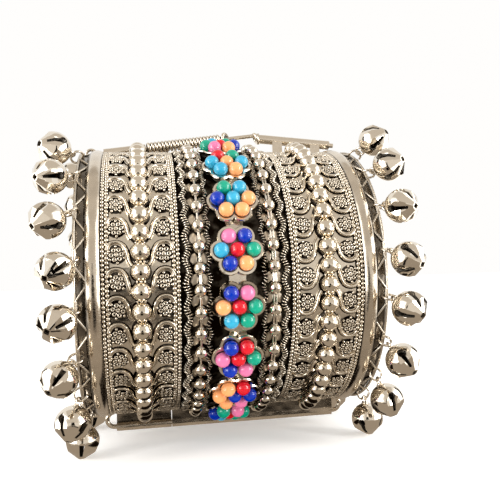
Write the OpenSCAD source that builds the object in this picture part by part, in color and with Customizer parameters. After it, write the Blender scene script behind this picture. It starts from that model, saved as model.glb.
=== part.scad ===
// A hinged cuff anklet with bead flowers, ball chains, wirework edges and bells.
// It lies on its curved side: the axis of the cuff runs along X, the front faces -Y,
// and the four lowest bells stand on the surface. Angles th are measured round the
// axis, from 0 at the front to 90 at the top, where the clasp is.

/* [Cuff] */
// Width of the cuff from rim to rim
cuff_w = 70; // [66:1:76]
// Radius of the bore that goes round the ankle
inner_r = 35.4; // [35:0.1:37]
// Thickness of the curved plate
plate_t = 0.9; // [0.8:0.1:1]
// Width of the half-round rim along each edge
rim_w = 2; // [1.6:0.1:2.2]
// Gap between the two halves, at the hinge and at the clasp
split_gap = 0.3; // [0.2:0.1:0.6]

/* [Panels] */
// Width of each ornamented side panel
panel_w = 19; // [18:0.5:19]
// Diameter of the polished balls down the middle of a panel
ball_d = 4.2; // [3.8:0.1:4.3]
// Balls in each panel of one half
balls = 24; // [18:1:24]
// Rosettes along each side of the balls, in one half
rosettes = 17; // [12:1:17]
// Diameter of a rosette
rosette_d = 3.3; // [2.6:0.1:3.4]
// Radius of the scroll wire that bends over each rosette
scroll_r = 2.2; // [1.9:0.1:2.2]

/* [Middle strip] */
// Width of the darkened strip between the panels
strip_w = 26.8; // [26.4:0.1:26.8]
// Balls in each ball chain of one half
chain_balls = 22; // [18:1:22]
// Diameter of the chain balls
chain_ball_d = 2.9; // [2.4:0.1:2.9]
// Distance of the ball chains from the middle
chain_x = 9.1; // [9:0.05:9.2]

/* [Flowers] */
// Bead flowers in one half
flowers = 8; // [4:1:8]
// Angle from one flower to the next
flower_step = 20; // [19.5:0.1:20.5]
// Diameter of the beads
bead_d = 3.6; // [3:0.1:3.6]
// Distance of the outer beads from the middle of the flower
petal_r = 3.9; // [3.85:0.05:3.95]
// Radius of each lobe at the rim of the cup
lobe_r = 2.5; // [2.4:0.05:2.5]

/* [Bells] */
// Bells along each edge of one half
bells = 8; // [4:2:8]
// Angle from one bell to the next
bell_step = 18.4; // [17:0.1:18.6]
// Diameter of a bell
bell_d = 8.8; // [7:0.1:9]
// Thickness of the bell's sheet metal
bell_t = 0.55; // [0.5:0.05:0.8]

/* [Hinge and clasp] */
// Diameter of the hinge tubes
hinge_d = 2.6; // [2.5:0.1:2.8]
// Distance of the hinge axis below the cuff axis
hinge_drop = 42.2; // [41.8:0.1:42.6]
// Diameter of the hinge pin
hinge_pin_d = 1.36; // [1.2:0.02:1.4]
// Diameter of the clasp pin
clasp_pin_d = 1.2; // [1:0.05:1.25]
// Slope of the clasp pin, in degrees
clasp_slope = 6.8; // [6:0.1:7]

/* [Hidden] */
$fn = 48;
COLOURS = ["blue", "turquoise", "green", "red", "peach", "pink"];

SILVER = "#B9AE9F";
BRIGHT = "#D9D3CA";
DARK = "#6E6255";
BEAD_HEX = ["#0B2FA8", "#3BB4D8", "#0E9A76", "#D81B2A", "#F4A968", "#F07DB4"];

// Clearances: between soldered layers, and between a pin and its tube
seam = 0.06;
run = 0.07;

// Radii of the layers, worked outwards
plate_r = inner_r + plate_t;
base_r = plate_r + seam;
panel_r = base_r + 0.6;
strip_r = base_r + 0.64;
cup_r = strip_r + seam;

// The ornament stops short of the split, where the hinge and clasp are soldered
half_span = 90 - asin(split_gap / 2 / plate_r);
trim_span = 90 - asin(2.2 / plate_r);

// Places along the width
rim_x = cuff_w / 2;
panel_x = rim_x - rim_w - 0.4 - panel_w / 2;
rail_x = rim_x + 3.5;

// Edging wires
rail_r = 37.3;
rail_wire = 0.45;
zigzag_wire = 0.33;
foot_wire = 0.45;
rail_run = 2.3;

// Where the link parts lie along a hanging bell's own axis
ring_r = 1.7;
ring_wire = 0.33;
ring_at = 0.7;
loop_r = 1.15;
loop_wire = 0.35;
loop_at = 2.8;
bell_at = 3.6 + bell_d / 2;

// Bead colours of each flower from the top down, by first letter except K for pink:
// the middle one, then from the right one round by the top
FRONT_FLOWERS = ["RBGTGKP", "PTGRTTP", "TPTGBPP", "RGBKTBP",
                 "RGKBPTG", "RGRBKBK", "BBRPPPK", "RGKGBTG"];
BACK_FLOWERS = ["BPRKGTP", "RTKGPBG", "PGBTKRT", "TKPBRGP",
                "KBGPTRB", "GRTKPBT", "RPBGKTP", "BTKRGPG"];
LETTERS = "BTGRPK";

// Places children on the cuff: x along the axis, th round it, r out from it.
// Their own Z points outwards and their own Y the way th grows.
module on_cuff(x, th, r) {
    rotate([90 - th, 0, 0]) translate([x, 0, r]) children();
}

// Turns an outline, drawn as [radius, x], about the cuff's axis
module around(span) {
    rotate([0, 90, 0]) rotate([0, 0, -90 - span])
        rotate_extrude(angle = 2 * span, $fn = 180) children();
}

// The front half as drawn, or the same turned over to the back
module half(h) {
    rotate([h == "back" ? 180 : 0, 0, 0]) children();
}

// A closed ring of wire about its own Z
module wire_ring(r, wire) {
    rotate_extrude() translate([r, 0]) circle(wire, $fn = 24);
}

// Straight wire between two points, stopping a little short of each
module wire_line(a, b, wire, short) {
    d = b - a;
    len = norm(d);
    translate(a) rotate([0, acos(d[2] / len), atan2(d[1], d[0])])
        translate([0, 0, short]) cylinder(h = len - 2 * short, r = wire, $fn = 24);
}

function cuff_point(x, th, r) = [x, -r * cos(th), r * sin(th)];

// Evenly spread angles about the middle of a half, the highest first
function spread(n, step) = [for (i = [0 : n - 1]) (n - 1) / 2 * step - i * step];

/* Curved plates, with their rims and hinge tubes */
hinge_y = hinge_d / 2;
knuckle_x = [-31.3, -15.4, 33.6];

module hinge_leaf(x0, x1, side) {
    translate([x0, side > 0 ? 0.45 : -hinge_y, -hinge_drop])
        cube([x1 - x0, hinge_y - 0.45, hinge_drop - plate_r + 0.4]);
    translate([x0, 0, -hinge_drop]) rotate([0, 90, 0]) cylinder(h = x1 - x0, d = hinge_d);
}

module shell(h) {
    front = h == "front";
    x0 = front ? knuckle_x[1] + 0.1 : knuckle_x[0];
    x1 = front ? knuckle_x[2] : knuckle_x[1] - 0.1;
    color(SILVER) difference() {
        union() {
            half(h) around(half_span) {
                translate([inner_r, -rim_x + rim_w / 2]) square([plate_t, cuff_w - rim_w]);
                for (s = [-1, 1]) {
                    translate([inner_r, s * (rim_x - rim_w / 2) - rim_w / 2])
                        square([plate_t, rim_w]);
                    translate([plate_r, s * (rim_x - rim_w / 2)]) circle(rim_w / 2);
                }
            }
            hinge_leaf(x0, x1, front ? -1 : 1);
        }
        translate([x0 - 1, 0, -hinge_drop]) rotate([0, 90, 0])
            cylinder(h = x1 - x0 + 2, d = hinge_pin_d + 2 * run);
    }
}

/* Side panels: borders, scrolls, rosettes and the column of balls */
border_r = 0.5;
ball_step = 7.15;
rosette_step = 10.1;
rosette_x = 5.3;

// The scrolls arch over the rosettes of the left panel and hang under those of the right
module scroll(th, x, turn) {
    on_cuff(x, th, panel_r + 0.05) rotate([0, 0, turn - 15])
        rotate_extrude(angle = 210) translate([scroll_r, 0]) circle(0.34, $fn = 24);
}

module rosette(th, side) {
    on_cuff(side * rosette_x, th, panel_r - 0.3) {
        cylinder(h = 0.75, d = rosette_d);
        cylinder(h = 1.15, d = 1.2);
    }
}

module ball_in_collar(th) {
    on_cuff(0, th, panel_r - 0.3) {
        cylinder(h = 0.9, d = ball_d + 0.1);
        // The ball's lowest part is cut off, so that it stays out of the plate below
        intersection() {
            translate([0, 0, 1.5]) sphere(d = ball_d);
            cylinder(h = ball_d + 1, d = ball_d + 1);
        }
    }
}

module panel(h, side) {
    half(h) translate([side * panel_x, 0, 0]) color(SILVER) union() {
        around(trim_span) {
            translate([base_r, -panel_w / 2]) square([panel_r - base_r, panel_w]);
            for (s = [-1, 1]) for (row = [0.55, 1.65])
                translate([panel_r, s * (panel_w / 2 - row)]) circle(border_r);
        }
        for (th = spread(balls, ball_step)) ball_in_collar(th);
        for (th = spread(rosettes, rosette_step)) for (s = [-1, 1]) {
            rosette(th, s);
            scroll(th, s * rosette_x, side > 0 ? 180 : 0);
        }
    }
}

/* Middle strip, with a lozenge under each chain ball */
chain_step = 7.95;

module middle_strip(h) {
    half(h) color(DARK) union() {
        around(trim_span)
            translate([base_r, -strip_w / 2]) square([strip_r - base_r - 0.3, strip_w]);
        for (th = spread(chain_balls - 1, chain_step)) for (s = [-1, 1])
            on_cuff(s * chain_x, th, base_r + 0.1)
                cylinder(h = 0.75, d = 2.7, $fn = 4);
    }
}

/* Rope strips, two on each side of the flowers */
rope_x = [6.85, 12.1];
rope_w = [1.7, 2.5];

module rope_strips(h) {
    half(h) color(SILVER) for (s = [-1, 1]) for (i = [0, 1])
        around(trim_span) translate([strip_r - 0.24, s * rope_x[i]]) {
            translate([0, -rope_w[i] / 2]) square([0.7, rope_w[i]]);
            for (k = [-1, 1]) translate([0.7, k * rope_w[i] / 4]) circle(rope_w[i] / 4);
        }
}

/* Ball chains: polished balls joined by short rods */
chain_r = strip_r + 1.75;

module ball_chains(h) {
    angles = spread(chain_balls, chain_step);
    half(h) color(BRIGHT) for (s = [-1, 1]) union() {
        for (th = angles) on_cuff(s * chain_x, th, chain_r) sphere(d = chain_ball_d);
        for (i = [1 : chain_balls - 1])
            wire_line(cuff_point(s * chain_x, angles[i - 1], chain_r),
                cuff_point(s * chain_x, angles[i], chain_r), 0.4, chain_ball_d / 4);
    }
}

/* Flower cups, joined in a row by a flat strip */
cup_floor = 0.75;
cup_h = 1.75;
cup_wall = 0.45;
// The cups stand on a narrower foot, up to this height, that keeps clear of the ropes
foot_h = 0.9;
foot_in = 0.5;

module lobes(r, h) {
    cylinder(h = h, r = petal_r - 0.3);
    for (a = [0 : 60 : 300]) rotate([0, 0, a]) translate([petal_r, 0, 0])
        cylinder(h = h, r = r);
}

module cup() {
    lobes(lobe_r - foot_in, foot_h + 0.2);
    translate([0, 0, foot_h]) lobes(lobe_r, cup_h - foot_h);
}

module cup_hollow() {
    translate([0, 0, cup_floor]) lobes(lobe_r - foot_in - cup_wall, cup_h);
    translate([0, 0, foot_h + 0.4]) lobes(lobe_r - cup_wall, cup_h);
}

module flower_cups(h) {
    half(h) color(BRIGHT) difference() {
        union() {
            around(trim_span) translate([cup_r, -2]) square([0.5, 4]);
            for (th = spread(flowers, flower_step)) on_cuff(0, th, cup_r) cup();
        }
        for (th = spread(flowers, flower_step)) on_cuff(0, th, cup_r) cup_hollow();
    }
}

/* Beads of one colour, resting in the cups */
module beads(h, c) {
    angles = spread(flowers, flower_step);
    rows = h == "front" ? FRONT_FLOWERS : BACK_FLOWERS;
    color(BEAD_HEX[c]) half(h) for (i = [0 : flowers - 1]) for (k = [0 : 6])
        if (rows[i][k] == LETTERS[c])
            on_cuff(0, angles[i], cup_r + cup_floor + bead_d / 2 + 0.1)
                rotate([0, 0, k * 60 - 60]) translate([k == 0 ? 0 : petal_r, 0, 0])
                    sphere(d = bead_d);
}

/* Wire edging: a rail held off the rim by a zigzag wire */
module edging(h, side) {
    foot_x = side * (rim_x + foot_wire + seam);
    half(h) color(BRIGHT) union() {
        around(trim_span) translate([rail_r, side * rail_x]) circle(rail_wire, $fn = 24);
        for (th = spread(bells, bell_step)) for (s = [-1, 1])
            wire_line(cuff_point(foot_x, th + s * bell_step / 2, plate_r),
                cuff_point(side * rail_x, th + s * rail_run, rail_r), zigzag_wire, 0.15);
        for (th = spread(bells + 1, bell_step))
            on_cuff(foot_x, th, plate_r) sphere(foot_wire, $fn = 24);
    }
}

/* Bells on jump rings. Each hangs along a mix of outwards, sideways and down. */
function low(e) = min(1, max(0, (-e - 20) / 44));
function mix(a, b, t) = a + (b - a) * t;
function hang(side, th) =
    let (t = low(asin(sin(th))), v = [side * mix(0.55, 0.12, t),
        -mix(0.3, 1, t) * cos(th), mix(0.7, 0, t) - mix(0.3, 1, t) * sin(th)])
    v / norm(v);

module hung(h, side) {
    for (e = spread(bells, bell_step)) {
        th = h == "front" ? e : 180 - e;
        u = hang(side, th);
        on_cuff(side * rail_x, th, rail_r)
            rotate([-asin(u[1]), atan2(u[0], u[2]), 0]) children();
    }
}

module jump_rings(h, side) {
    color(BRIGHT) hung(h, side) translate([0, 0, ring_at]) rotate([90, 0, 0])
        wire_ring(ring_r, ring_wire);
}

// A ball with four flats folded towards its foot
module bell_form(r) {
    difference() {
        sphere(r);
        for (a = [45 : 90 : 315]) rotate([0, 52, a])
            translate([-r, -r, r * 0.87]) cube(2 * r);
    }
}

module bell() {
    r = bell_d / 2;
    slot_w = 0.6;
    difference() {
        union() {
            bell_form(r);
            translate([0, 0, -r - 0.25]) cylinder(h = 0.8, r = 1.1);
        }
        bell_form(r - bell_t);
        for (a = [0, 90]) rotate([0, 0, a]) {
            translate([-r * 0.7, -slot_w / 2, r * 0.5]) cube([r * 1.4, slot_w, r]);
            for (s = [-1, 1]) rotate([0, s * 48, 0]) cylinder(h = r + 1, r = 0.6);
        }
    }
}

module bells(h, side) {
    color(BRIGHT) hung(h, side) {
        translate([0, 0, loop_at]) rotate([0, 90, 0]) wire_ring(loop_r, loop_wire);
        translate([0, 0, bell_at]) bell();
    }
}

/* Hinge pin, with its ends bent up into hooks */
hook_r = 2.1;

module hinge_pin() {
    x = [knuckle_x[0] - 0.6, knuckle_x[2] + 0.6];
    color(BRIGHT) translate([0, 0, -hinge_drop]) {
        translate([x[0], 0, 0]) rotate([0, 90, 0]) cylinder(h = x[1] - x[0], d = hinge_pin_d);
        for (s = [0, 1]) translate([x[s], 0, hook_r]) rotate([90, 0, 0])
            rotate([0, 0, s ? -90 : 90]) rotate_extrude(angle = 180)
                translate([hook_r, 0]) circle(d = hinge_pin_d);
    }
}

/* Clasp: a loose pin through the front sleeve and the back coil into a fixed tube */
clasp_x = -34;
clasp_z = 38;
sleeve_len = 13.2;
coil_len = 22.2;
coil_turns = 21;
sleeve_d = 2.6;

// Places children with their own Z along the clasp pin, at a distance from its start
module on_clasp(at) {
    translate([clasp_x, 0, clasp_z]) rotate([0, 90 - clasp_slope, 0])
        translate([0, 0, at]) children();
}

module clasp_bore() {
    on_clasp(-1) cylinder(h = 60, d = clasp_pin_d + 2 * run);
}

// A small block that carries a clasp tube on the edge of one half
module saddle(x, w, z, side) {
    translate([x, side > 0 ? 0.4 : -1.3, plate_r + seam]) cube([w, 0.9, z - plate_r - seam]);
}

module clasp_sleeve() {
    color(SILVER) difference() {
        union() {
            on_clasp(1.1) cylinder(h = sleeve_len - 0.9, d = sleeve_d);
            saddle(-31, 3, 38.4, -1);
            saddle(-25, 3, 39.1, -1);
        }
        clasp_bore();
    }
}

module clasp_coil() {
    pitch = coil_len / coil_turns;
    color(SILVER) difference() {
        union() {
            on_clasp(sleeve_len + 0.5) rotate_extrude() {
                square([1.25, coil_len]);
                for (i = [0 : coil_turns - 1]) translate([1.25, (i + 0.5) * pitch])
                    circle(0.55);
            }
            on_clasp(sleeve_len + coil_len + 0.5) cylinder(h = 3.2, r = 1);
            on_clasp(sleeve_len + coil_len + 2.6) rotate([0, 25, 0]) wire_ring(1.45, 0.5);
            saddle(-17, 3, 39.8, 1);
            saddle(-4, 3, 41.2, 1);
        }
        clasp_bore();
    }
}

module clasp_tube() {
    tilt = 5;
    from = [13.4, 0, 42.6];
    color(SILVER) difference() {
        union() {
            translate(from) rotate([0, 90 + tilt, 0]) {
                cylinder(h = 23, d = 2.8);
                translate([0, 0, 22]) cylinder(h = 2.4, d = 1.4);
                translate([0, 0, -0.3]) rotate([0, -30, 0]) wire_ring(1.5, 0.5);
            }
            saddle(18, 3, 41.8, -1);
            saddle(30, 3, 40.6, -1);
        }
        on_clasp(40) cylinder(h = 9.6, d = clasp_pin_d + 0.3);
    }
}

module clasp_pin() {
    color(BRIGHT) {
        on_clasp(-1.2) cylinder(h = 49.6, d = clasp_pin_d);
        on_clasp(-2.6) rotate([90, 0, 0]) wire_ring(1.45, 0.45);
    }
}

for (h = ["front", "back"]) {
    shell(h);
    panel(h, -1);
    panel(h, 1);
    middle_strip(h);
    rope_strips(h);
    ball_chains(h);
    flower_cups(h);
    edging(h, -1);
    edging(h, 1);
    jump_rings(h, -1);
    jump_rings(h, 1);
    bells(h, -1);
    bells(h, 1);
    for (c = [0 : 5])
        beads(h, c);
}
hinge_pin();
clasp_sleeve();
clasp_coil();
clasp_tube();
clasp_pin();
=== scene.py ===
import math
import random

import bmesh
import bpy
import numpy as np
from mathutils import Matrix, Quaternion, Vector
from mathutils.bvhtree import BVHTree


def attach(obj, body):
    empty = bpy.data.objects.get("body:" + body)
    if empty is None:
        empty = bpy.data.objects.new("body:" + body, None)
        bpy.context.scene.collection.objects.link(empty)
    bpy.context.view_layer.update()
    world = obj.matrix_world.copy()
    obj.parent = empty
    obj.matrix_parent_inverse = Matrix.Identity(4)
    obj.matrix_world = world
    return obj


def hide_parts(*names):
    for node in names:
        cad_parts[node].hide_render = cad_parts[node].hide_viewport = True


# The anklet lies on its curved side with its axis along X. Sizes below are millimetres, and mm
# turns them into Blender's metres. Angles "th" run round the axis: 0 at the front, 90 at the top.
mm = 0.001
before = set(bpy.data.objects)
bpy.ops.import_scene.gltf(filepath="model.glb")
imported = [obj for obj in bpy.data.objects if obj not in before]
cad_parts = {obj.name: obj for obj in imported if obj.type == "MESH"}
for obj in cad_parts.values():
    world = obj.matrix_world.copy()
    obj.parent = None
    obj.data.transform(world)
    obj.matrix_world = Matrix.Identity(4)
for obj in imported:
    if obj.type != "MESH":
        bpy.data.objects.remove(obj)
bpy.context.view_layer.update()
random.seed(7)

cuff = {
    "plateRadius": 36.3,  # outside of the curved plate
    "panelRadius": 36.96,  # top of a panel's sheet
    "stripRadius": 36.7,  # top of the darkened middle strip
    "ornamentSpan": 86.5,  # half angle that the ornament of one half covers
    "rimX": 35.0,
    "divisions": 96,  # pieces that a sheet has along the arc of one half, so that it bends
}


# Small helpers

def activeObject():
    return bpy.context.view_layer.objects.active


def deselectAll():
    for obj in bpy.context.selected_objects:
        obj.select_set(False)


def makeActive(obj):
    deselectAll()
    obj.select_set(True)
    bpy.context.view_layer.objects.active = obj


def applyModifiers(obj):
    makeActive(obj)
    for modifier in list(obj.modifiers):
        bpy.ops.object.modifier_apply(modifier=modifier.name)


def joinAll(objects, name):
    deselectAll()
    for obj in objects:
        obj.select_set(True)
    bpy.context.view_layer.objects.active = objects[0]
    if len(objects) > 1:
        bpy.ops.object.join()
    objects[0].name = name
    objects[0].data.name = name
    return objects[0]


def removeObjects(*objects):
    for obj in objects:
        mesh = obj.data
        bpy.data.objects.remove(obj)
        bpy.data.meshes.remove(mesh)


def coordinates(obj):
    points = np.empty(len(obj.data.vertices) * 3)
    obj.data.vertices.foreach_get("co", points)
    return points.reshape(-1, 3)


def setCoordinates(obj, points):
    obj.data.vertices.foreach_set("co", np.ascontiguousarray(points, dtype=float).ravel())
    obj.data.update()


def setTarnishAndShade(obj, value):
    # How black the silver is, 0 to 1, kept on every point for the material to read: the blackening of the hollows, and
    # painted shade under and inside parts
    layer = obj.data.attributes.get("tarnishAndShade") or obj.data.attributes.new("tarnishAndShade", "FLOAT", "POINT")
    values = np.zeros(len(obj.data.vertices), np.float32) + value
    layer.data.foreach_set("value", values.astype(np.float32))
    return obj


def tarnishAndShadeByHeight(obj, dark, bright):
    # Dark at height "dark" and below, clean from height "bright" up: painted shade on the lower side where a part sits
    # on the sheet, together with the blackening of that crevice
    z = coordinates(obj)[:, 2] / mm
    return setTarnishAndShade(obj, np.clip((bright - z) / (bright - dark), 0, 1))


def shift(x, y, z):
    return Matrix.Translation((x * mm, y * mm, z * mm))


def turn(degrees, axis):
    return Matrix.Rotation(math.radians(degrees), 4, axis)


def anyTurn(axis="Z"):
    return Matrix.Rotation(random.uniform(0, 6.3), 4, axis)


def placedCopies(master, places, name, keep=False):
    # One mesh that holds a copy of the master at each place
    copies = []
    for place in places:
        mesh = master.data.copy()
        mesh.transform(place)
        copy = bpy.data.objects.new(name, mesh)
        bpy.context.scene.collection.objects.link(copy)
        copies.append(copy)
    if not keep:
        removeObjects(master)
    return joinAll(copies, name)


def wrapOnCuff(obj, radius, back):
    # A piece is modelled flat, X along the cuff, Y round it at the given radius, Z outwards from
    # that radius. Here it goes round the cuff, and over to the back half if asked.
    p = coordinates(obj) / mm
    th = p[:, 1] / radius
    r = radius + p[:, 2]
    y, z = -r * np.cos(th), r * np.sin(th)
    if back:
        y, z = -y, -z
    setCoordinates(obj, np.column_stack([p[:, 0], y, z]) * mm)


def cuffPlace(x, th, r, back=False, spin=0.0):
    # The matrix of a place on the cuff: its Z points outwards, its Y round the cuff
    half = Matrix.Rotation(math.pi, 4, "X") if back else Matrix.Identity(4)
    return half @ turn(90 - th, "X") @ shift(x, 0, r) @ turn(spin, "Z")


def onCuff(x, th, r):
    return (x, -r * math.cos(math.radians(th)), r * math.sin(math.radians(th)))


def spread(count, step):
    return [(count - 1) / 2 * step - i * step for i in range(count)]


def evenly(reach):
    pieces = cuff["divisions"]
    return [-reach + 2 * reach * k / pieces for k in range(pieces + 1)]


def share(v):
    return min(1.0, max(0.0, v))


def wireAlong(points, radius, name, sides=6):
    # A wire through points given in mm. Curves carry the bend, and the result is a mesh.
    data = bpy.data.curves.new(name, "CURVE")
    data.dimensions = "3D"
    data.bevel_depth = radius * mm
    data.bevel_resolution = (sides - 4) // 2
    data.use_fill_caps = True
    spline = data.splines.new("POLY")
    spline.points.add(len(points) - 1)
    for point, p in zip(spline.points, points):
        point.co = (p[0] * mm, p[1] * mm, p[2] * mm, 1)
    spline.use_smooth = True
    obj = bpy.data.objects.new(name, data)
    bpy.context.scene.collection.objects.link(obj)
    makeActive(obj)
    bpy.ops.object.convert(target="MESH")
    return activeObject()


def smoothPath(points, steps):
    # A rounded path through the given points
    p = np.array(points, float)
    p = np.vstack([2 * p[0] - p[1], p, 2 * p[-1] - p[-2]])
    out = []
    for i in range(1, len(p) - 2):
        for k in range(steps):
            t = k / steps
            out.append(0.5 * ((2 * p[i]) + (p[i + 1] - p[i - 1]) * t
                              + (2 * p[i - 1] - 5 * p[i] + 4 * p[i + 1] - p[i + 2]) * t ** 2
                              + (3 * p[i] - p[i - 1] - 3 * p[i + 1] + p[i + 2]) * t ** 3))
    out.append(p[-2])
    return [tuple(q) for q in out]


def recalculateNormals(obj):
    makeActive(obj)
    bpy.ops.object.mode_set(mode="EDIT")
    bpy.ops.mesh.select_all(action="SELECT")
    bpy.ops.mesh.normals_make_consistent(inside=False)
    bpy.ops.object.mode_set(mode="OBJECT")


def smoothByAngle(obj, degrees):
    makeActive(obj)
    bpy.ops.object.shade_smooth_by_angle(angle=math.radians(degrees))


def bevelEdges(obj, width, segments=2):
    bevel = obj.modifiers.new("round", "BEVEL")
    bevel.width, bevel.segments, bevel.limit_method = width * mm, segments, "ANGLE"
    applyModifiers(obj)


def addBall(radius, segments=24, rings=12, location=(0, 0, 0)):
    deselectAll()
    bpy.ops.mesh.primitive_uv_sphere_add(segments=segments, ring_count=rings, radius=radius * mm,
                                         location=[c * mm for c in location])
    bpy.ops.object.transform_apply(location=True, rotation=True, scale=True)
    bpy.ops.object.shade_smooth()
    return activeObject()


def addGranule(radius):
    # A small ball with its hidden lower part cut off
    deselectAll()
    bpy.ops.mesh.primitive_ico_sphere_add(subdivisions=2, radius=radius * mm)
    bpy.ops.object.mode_set(mode="EDIT")
    bpy.ops.mesh.select_all(action="SELECT")
    bpy.ops.mesh.bisect(plane_co=(0, 0, -radius * 0.25 * mm), plane_no=(0, 0, 1), clear_inner=True)
    bpy.ops.object.mode_set(mode="OBJECT")
    bpy.ops.object.shade_smooth()
    return activeObject()


def addDisc(radius, height, bevel, sides=24):
    deselectAll()
    bpy.ops.mesh.primitive_cylinder_add(vertices=sides, radius=radius * mm, depth=height * mm,
                                        location=(0, 0, height / 2 * mm))
    bpy.ops.object.transform_apply(location=True, rotation=True, scale=True)
    disc = activeObject()
    bevelEdges(disc, bevel)
    smoothByAngle(disc, 40)
    return disc


def addTorus(radius, wire, turns=24, sides=8):
    deselectAll()
    bpy.ops.mesh.primitive_torus_add(major_radius=radius * mm, minor_radius=wire * mm,
                                     major_segments=turns, minor_segments=sides)
    bpy.ops.object.shade_smooth()
    return activeObject()


def addBlock(size, middle):
    deselectAll()
    bpy.ops.mesh.primitive_cube_add(size=1, location=[c * mm for c in middle])
    block = activeObject()
    block.scale = [c * mm for c in size]
    bpy.ops.object.transform_apply(location=True, rotation=True, scale=True)
    return block


def addSlab(width, reach, low, high, pieces):
    # A flat strip divided along its length, so that it can bend round the cuff
    deselectAll()
    bpy.ops.mesh.primitive_grid_add(x_subdivisions=2, y_subdivisions=pieces, size=1)
    slab = activeObject()
    p = coordinates(slab)
    p[:, 0] *= width * mm
    p[:, 1] *= 2 * reach * mm
    p[:, 2] = low * mm
    setCoordinates(slab, p)
    bpy.ops.object.mode_set(mode="EDIT")
    bpy.ops.mesh.select_all(action="SELECT")
    bpy.ops.mesh.extrude_region_move(TRANSFORM_OT_translate={"value": (0, 0, (high - low) * mm)})
    bpy.ops.object.mode_set(mode="OBJECT")
    recalculateNormals(slab)
    return slab


def finishPiece(obj, body, node, material):
    obj.data.materials.clear()
    obj.data.materials.append(material)
    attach(obj, body)
    if node:
        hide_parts(node)


# Materials

def linear(hexColour):
    values = [int(hexColour[i:i + 2], 16) / 255 for i in (1, 3, 5)]
    return tuple(v / 12.92 if v <= 0.04045 else ((v + 0.055) / 1.055) ** 2.4 for v in values) + (1,)


def addNode(tree, kind, settings=None, links=None):
    # A setting goes to the node itself if it has one of that name, and else to its socket
    node = tree.nodes.new(kind)
    for key, value in (settings or {}).items():
        if isinstance(key, str) and hasattr(node, key) and key not in node.inputs:
            setattr(node, key, value)
    for key, value in (settings or {}).items():
        if not isinstance(key, str) or key in node.inputs:
            node.inputs[key].default_value = value
    for key, source in (links or {}).items():
        tree.links.new(source, node.inputs[key])
    return node


def newMaterial(name):
    material = bpy.data.materials.new(name)
    material.use_nodes = True
    tree = material.node_tree
    tree.nodes.clear()
    output = addNode(tree, "ShaderNodeOutputMaterial")
    return material, tree, output


def addSurface(tree, output, settings, links=None):
    shader = addNode(tree, "ShaderNodeBsdfPrincipled", settings, links)
    tree.links.new(shader.outputs["BSDF"], output.inputs["Surface"])


def noise(tree, place, scale, detail, distortion=0.0):
    settings = {"Scale": scale, "Detail": detail, "Distortion": distortion}
    return addNode(tree, "ShaderNodeTexNoise", settings, {"Vector": place}).outputs["Fac"]


def remap(tree, value, fromLow, fromHigh, toLow=0.0, toHigh=1.0):
    settings = {"From Min": fromLow, "From Max": fromHigh, "To Min": toLow, "To Max": toHigh}
    return addNode(tree, "ShaderNodeMapRange", settings, {"Value": value}).outputs["Result"]


def combine(tree, operation, *values, clamp=False):
    settings = {"operation": operation, "use_clamp": clamp}
    return addNode(tree, "ShaderNodeMath", settings, dict(enumerate(values))).outputs["Value"]


def blend(tree, amount, first, second):
    settings = {"data_type": "RGBA", 6: first, 7: second}
    return addNode(tree, "ShaderNodeMix", settings, {"Factor": amount}).outputs[2]


def addBump(tree, height, strength, depth, normal=None):
    links = {"Height": height, "Normal": normal} if normal else {"Height": height}
    settings = {"Strength": strength, "Distance": depth * mm}
    return addNode(tree, "ShaderNodeBump", settings, links).outputs["Normal"]


def silver(name, clean, black, rough, wear, dents, dentScale=1600.0):
    # Silver-plated brass, polished and then blackened in its recesses, and darkened by painted shade under and inside
    # parts. A point attribute says where.
    material, tree, output = newMaterial(name)
    place = addNode(tree, "ShaderNodeTexCoord").outputs["Object"]
    cloud = noise(tree, place, 260.0, 3.0)  # patches of about 4 mm
    smear = noise(tree, place, 900.0, 4.0)  # smears of about 1 mm
    dent = noise(tree, place, dentScale, 2.0)  # dents of about 0.6 mm
    layer = addNode(tree, "ShaderNodeAttribute", {"attribute_name": "tarnishAndShade"}).outputs["Fac"]
    blackness = combine(tree, "ADD", layer, remap(tree, cloud, 0.35, 0.7, -wear, wear), clamp=True)
    rub = remap(tree, smear, 0.3, 0.7, rough * 0.7, rough * 1.4)
    roughness = addNode(tree, "ShaderNodeMix", {"data_type": "FLOAT", 3: 0.6},
                        {"Factor": remap(tree, blackness, 0.0, 0.4), 2: rub}).outputs[0]
    addSurface(tree, output, {"Metallic": 1.0}, {
        "Base Color": blend(tree, blackness, linear(clean), linear(black)),
        "Specular Tint": blend(tree, blackness, (1, 1, 1, 1), linear("#2A2420")),
        "Roughness": roughness,
        "Normal": addBump(tree, dent, dents, 0.12),
    })
    return material


plateZones = {
    # where each zone of the curved plate begins to show and where it is full, or the other way round
    "outerFace": (36.2, 36.28),  # from the axis
    "ornament": (32.5, 32.8),  # from the middle of the cuff, where the ornament ends
    "seam": (1.6, 1.9),  # from the seam between the halves
    "lip": (35.45, 35.7),  # from the middle of the cuff
    "leafFoot": (36.6, 36.8),  # from the axis: the leaves of the hinge
    "leafTop": (40.9, 41.2),
    "leafFace": (1.32, 1.35),  # from the seam
}


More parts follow.
